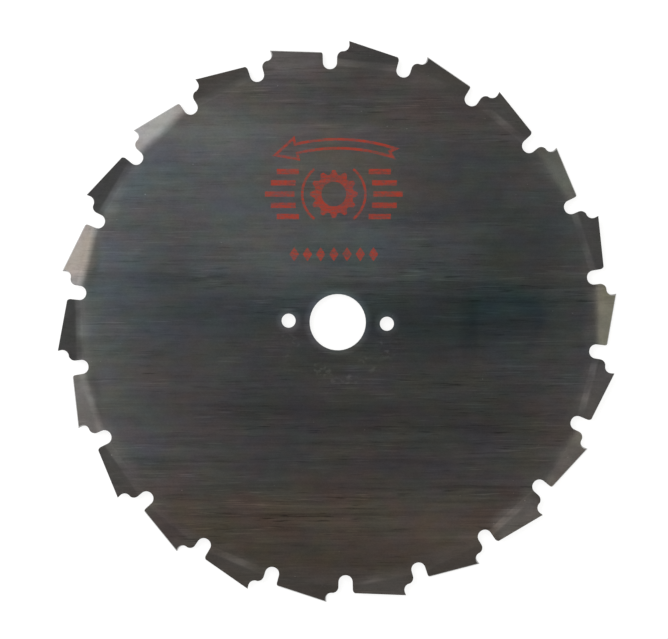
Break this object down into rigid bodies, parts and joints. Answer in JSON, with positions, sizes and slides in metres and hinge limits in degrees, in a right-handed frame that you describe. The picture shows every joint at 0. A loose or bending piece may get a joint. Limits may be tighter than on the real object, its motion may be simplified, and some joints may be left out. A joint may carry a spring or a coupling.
{
  "type": "brush cutter blade",
  "caption": "Flat round steel saw blade with hooked chisel teeth bent to either side in turn, round gullets, a centre bore and small pin holes beside it.",
  "frame": {"origin": "on the axis of the bore, halfway through the plate", "axes": "+Z along the bore out of the printed face, +X through the pin holes"},
  "size_m": [0.1982, 0.2, 0.0036],
  "materials": {
    "blade_steel": "rolled steel with a fine straight grain, ground bright at the tooth edges",
    "marking_ink": "thin worn red ink printed on the plate"
  },
  "bodies": {
    "root": {"blade": "blade_steel"}
  },
  "joints": []
}
